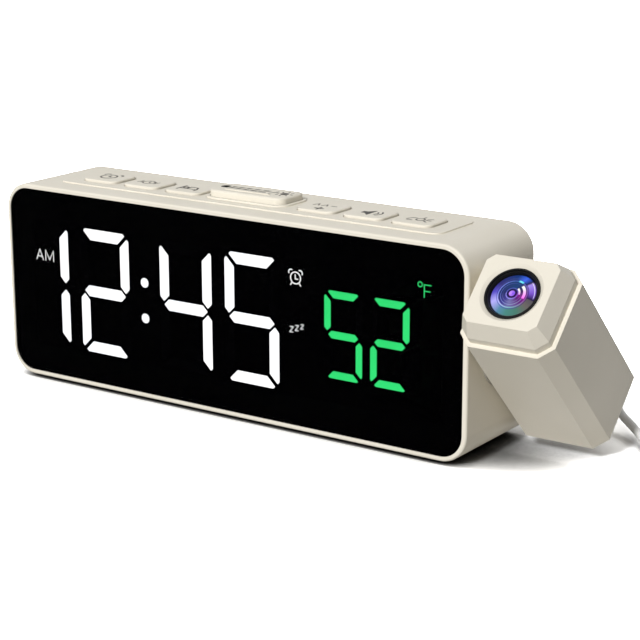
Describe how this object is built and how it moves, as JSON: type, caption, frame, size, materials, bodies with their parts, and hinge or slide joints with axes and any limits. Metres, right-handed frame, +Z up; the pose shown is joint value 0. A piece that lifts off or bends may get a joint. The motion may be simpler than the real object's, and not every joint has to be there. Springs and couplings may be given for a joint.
{
  "type": "projection alarm clock",
  "caption": "Table alarm clock with a wide LED display in a rounded ivory case, keys and a snooze bar on top, and a tilting projector head at its side.",
  "frame": {"origin": "on the table, under the middle of the clock with its projector head, cord left out", "axes": "+X to the projector head's side, along the display's width; +Y to the rear; +Z up"},
  "size_m": [0.25, 0.1158, 0.0662],
  "materials": {
    "ivory": "fine satin, moulded",
    "foot_rubber": "matte",
    "screw_steel": "plated",
    "smoked_acrylic": "smooth, dark smoked",
    "black_plastic": "matte",
    "diffuser": "milky, light-passing",
    "board": "solder mask",
    "led": "clear resin",
    "speaker_steel": "dark plated",
    "speaker_paper": "matte paper",
    "contact_brass": "plain",
    "cell_steel": "satin",
    "sensor_epoxy": "dipped",
    "pale_plastic": "low-friction acetal",
    "wire": "soft sleeve",
    "coated_lens": "blue coated",
    "clear_lens": "polished",
    "lead_white": "soft PVC"
  },
  "bodies": {
    "clock": {"case_shell": "ivory", "rear_cover": "ivory", "rubber_feet": "foot_rubber", "case_screws": "screw_steel", "display_window": "smoked_acrylic", "light_box": "black_plastic", "hour_tens_digit": "diffuser", "hour_ones_digit": "diffuser", "minute_tens_digit": "diffuser", "minute_ones_digit": "diffuser", "temperature_tens_digit": "diffuser", "temperature_ones_digit": "diffuser", "colon_dots": "diffuser", "indicator_windows": "diffuser", "main_board": "board", "display_leds": "led", "control_chip": "black_plastic", "board_screws": "screw_steel", "key_board": "board", "key_switches": "black_plastic", "speaker_basket": "speaker_steel", "speaker_cone": "speaker_paper", "speaker_magnet": "speaker_steel", "battery_holder": "black_plastic", "battery_contacts": "contact_brass", "coin_cell": "cell_steel", "battery_door": "ivory", "battery_door_screw": "screw_steel", "temperature_sensor": "sensor_epoxy", "power_socket": "black_plastic", "pivot_washer": "pale_plastic", "case_wires": "wire", "plug_barrel": "screw_steel", "power_plug": "lead_white", "power_lead": "lead_white", "power_lead_coil": "lead_white", "power_lead_tail": "lead_white", "usb_plug": "lead_white"},
    "projector": {"projector_housing": "ivory", "projector_cap": "ivory", "lens_ring": "black_plastic", "front_lens": "coated_lens", "lens_barrel": "black_plastic", "rear_lens": "clear_lens", "optics_frame": "black_plastic", "image_panel": "clear_lens", "condenser_lens": "clear_lens", "projector_board": "board", "projector_led": "led", "pivot_shaft": "pale_plastic", "spring_washer": "screw_steel", "retaining_ring": "screw_steel", "head_wires": "wire"},
    "alarm_key": {"alarm_key": "ivory"},
    "time_key": {"time_key": "ivory"},
    "nap_key": {"nap_key": "ivory"},
    "plus_key": {"plus_key": "ivory"},
    "volume_key": {"volume_key": "ivory"},
    "projection_key": {"projection_key": "ivory"},
    "snooze_bar": {"snooze_bar": "ivory"}
  },
  "joints": [
    {"name": "projector_tilt", "type": "hinge", "parent": "clock", "child": "projector", "pos_m": [0.085, 0.00161, 0.0312], "axis": [1, 0, 0], "range_deg": [-135, 45]},
    {"name": "alarm_key_press", "type": "slide", "parent": "clock", "child": "alarm_key", "axis": [0, 0, -1], "range_m": [0, 0.0005], "stiffness_N_per_m": 1500},
    {"name": "time_key_press", "type": "slide", "parent": "clock", "child": "time_key", "axis": [0, 0, -1], "range_m": [0, 0.0005], "stiffness_N_per_m": 1500},
    {"name": "nap_key_press", "type": "slide", "parent": "clock", "child": "nap_key", "axis": [0, 0, -1], "range_m": [0, 0.0005], "stiffness_N_per_m": 1500},
    {"name": "plus_key_press", "type": "slide", "parent": "clock", "child": "plus_key", "axis": [0, 0, -1], "range_m": [0, 0.0005], "stiffness_N_per_m": 1500},
    {"name": "volume_key_press", "type": "slide", "parent": "clock", "child": "volume_key", "axis": [0, 0, -1], "range_m": [0, 0.0005], "stiffness_N_per_m": 1500},
    {"name": "projection_key_press", "type": "slide", "parent": "clock", "child": "projection_key", "axis": [0, 0, -1], "range_m": [0, 0.0005], "stiffness_N_per_m": 1500},
    {"name": "snooze_bar_press", "type": "slide", "parent": "clock", "child": "snooze_bar", "axis": [0, 0, -1], "range_m": [0, 0.0006], "stiffness_N_per_m": 1500}
  ]
}
